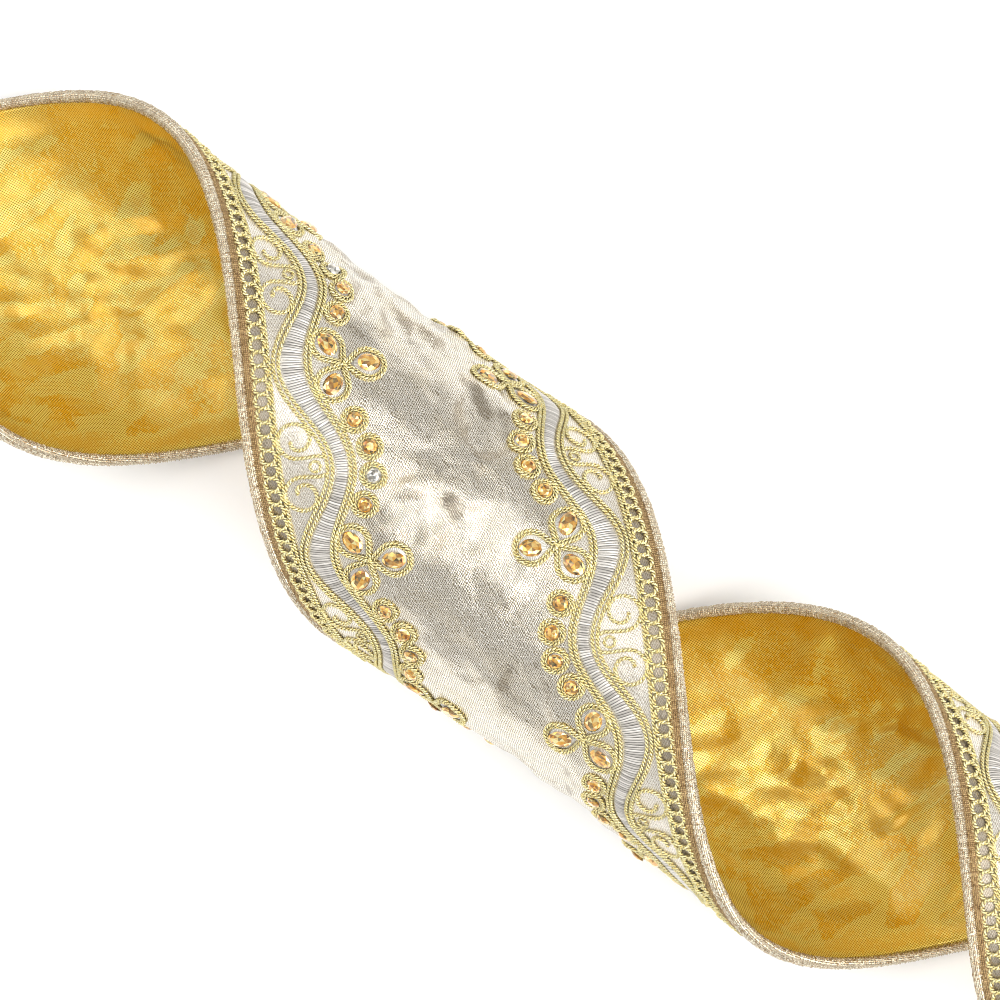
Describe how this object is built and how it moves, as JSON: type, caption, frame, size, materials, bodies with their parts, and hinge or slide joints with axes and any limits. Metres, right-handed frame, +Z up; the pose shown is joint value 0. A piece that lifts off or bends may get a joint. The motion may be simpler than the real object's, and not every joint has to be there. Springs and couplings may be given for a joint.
{
  "type": "wired ribbon",
  "caption": "Wide double-faced wired ribbon in an open right-handed curl: silver face with corded, jewelled borders, gold lining, wired bound edges.",
  "frame": {"origin": "middle of the ribbon's bounding box at table height, under the curl", "axes": "+X along the axis of the curl, towards its closing-in end; +Z up from the table"},
  "size_m": [0.4764, 0.091, 0.081],
  "materials": {
    "silver_lame": "metallic woven lame, silver",
    "gold_lame": "metallic woven lame, bright gold",
    "spring_wire": "plain drawn wire",
    "champagne_binding": "overlocked metallic thread, champagne",
    "gold_cord": "two-ply metallic cord",
    "satin_thread": "satin stitch, silver grey",
    "amber_jewel": "faceted stones in corded settings"
  },
  "bodies": {
    "root": {"front_fabric": "silver_lame", "backing_fabric": "gold_lame", "edge_wire_a": "spring_wire", "edge_binding_a": "champagne_binding", "ring_chain_a": "gold_cord", "wave_cord_a": "gold_cord", "satin_band_a": "satin_thread", "scroll_a_01": "gold_cord", "scroll_a_02": "gold_cord", "scroll_a_03": "gold_cord", "scroll_a_04": "gold_cord", "scroll_a_05": "gold_cord", "scroll_a_06": "gold_cord", "scroll_a_07": "gold_cord", "scroll_a_08": "gold_cord", "scroll_a_09": "gold_cord", "scroll_a_10": "gold_cord", "scroll_a_11": "gold_cord", "scroll_a_12": "gold_cord", "jewel_swag_a_01": "amber_jewel", "jewel_swag_a_02": "amber_jewel", "jewel_swag_a_03": "amber_jewel", "jewel_swag_a_04": "amber_jewel", "jewel_swag_a_05": "amber_jewel", "jewel_swag_a_06": "amber_jewel", "jewel_swag_a_07": "amber_jewel", "jewel_swag_a_08": "amber_jewel", "jewel_swag_a_09": "amber_jewel", "jewel_swag_a_10": "amber_jewel", "jewel_swag_a_11": "amber_jewel", "jewel_swag_a_12": "amber_jewel", "edge_wire_b": "spring_wire", "edge_binding_b": "champagne_binding", "ring_chain_b": "gold_cord", "wave_cord_b": "gold_cord", "satin_band_b": "satin_thread", "scroll_b_01": "gold_cord", "scroll_b_02": "gold_cord", "scroll_b_03": "gold_cord", "scroll_b_04": "gold_cord", "scroll_b_05": "gold_cord", "scroll_b_06": "gold_cord", "scroll_b_07": "gold_cord", "scroll_b_08": "gold_cord", "scroll_b_09": "gold_cord", "scroll_b_10": "gold_cord", "scroll_b_11": "gold_cord", "scroll_b_12": "gold_cord", "jewel_swag_b_01": "amber_jewel", "jewel_swag_b_02": "amber_jewel", "jewel_swag_b_03": "amber_jewel", "jewel_swag_b_04": "amber_jewel", "jewel_swag_b_05": "amber_jewel", "jewel_swag_b_06": "amber_jewel", "jewel_swag_b_07": "amber_jewel", "jewel_swag_b_08": "amber_jewel", "jewel_swag_b_09": "amber_jewel", "jewel_swag_b_10": "amber_jewel", "jewel_swag_b_11": "amber_jewel", "jewel_swag_b_12": "amber_jewel"}
  },
  "joints": []
}
